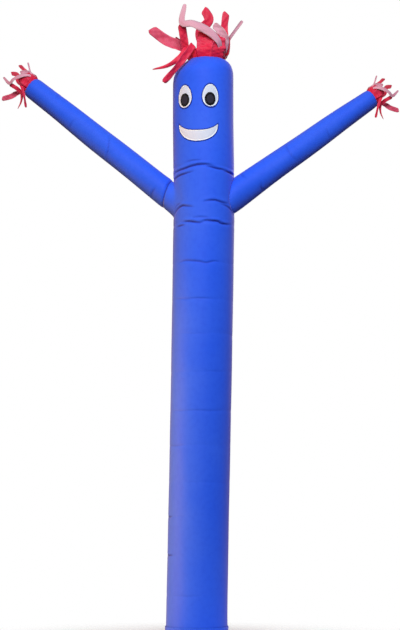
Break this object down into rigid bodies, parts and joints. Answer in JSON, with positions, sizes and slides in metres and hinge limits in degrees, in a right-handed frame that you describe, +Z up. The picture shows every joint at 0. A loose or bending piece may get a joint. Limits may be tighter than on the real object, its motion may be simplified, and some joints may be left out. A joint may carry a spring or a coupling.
{
  "type": "inflatable air dancer",
  "caption": "Tall upright nylon tube with a simple smiling face, two raised sleeves and loose streamers at crown and hands, kept full of air by a blower strapped in its foot cuff.",
  "frame": {"origin": "centre of the cuff's lower edge, on the ground", "axes": "+Z up along the tube, -Y the way the face looks, +X towards the right hand in the picture, which is the figure's own left"},
  "size_m": [2.0286, 0.5379, 3.2132],
  "materials": {
    "blue_nylon": "thin coated nylon with a soft sheen",
    "red_nylon": "thin uncoated nylon, cut edges",
    "pale_pink_nylon": "very thin, half sheer nylon",
    "white_applique": "matt applique with a satin stitched edge",
    "black_applique": "matt applique with a satin stitched edge"
  },
  "bodies": {
    "root": {"blower_cuff": "blue_nylon", "main_tube": "blue_nylon", "sleeve_left": "blue_nylon", "sleeve_right": "blue_nylon", "eye_left": "white_applique", "eye_right": "white_applique", "smile": "white_applique", "pupil_left": "black_applique", "pupil_right": "black_applique", "crown_streamers_red": "red_nylon", "left_hand_streamers_red": "red_nylon", "right_hand_streamers_red": "red_nylon", "crown_streamers_pale": "pale_pink_nylon", "left_hand_streamers_pale": "pale_pink_nylon", "right_hand_streamers_pale": "pale_pink_nylon"}
  },
  "joints": []
}
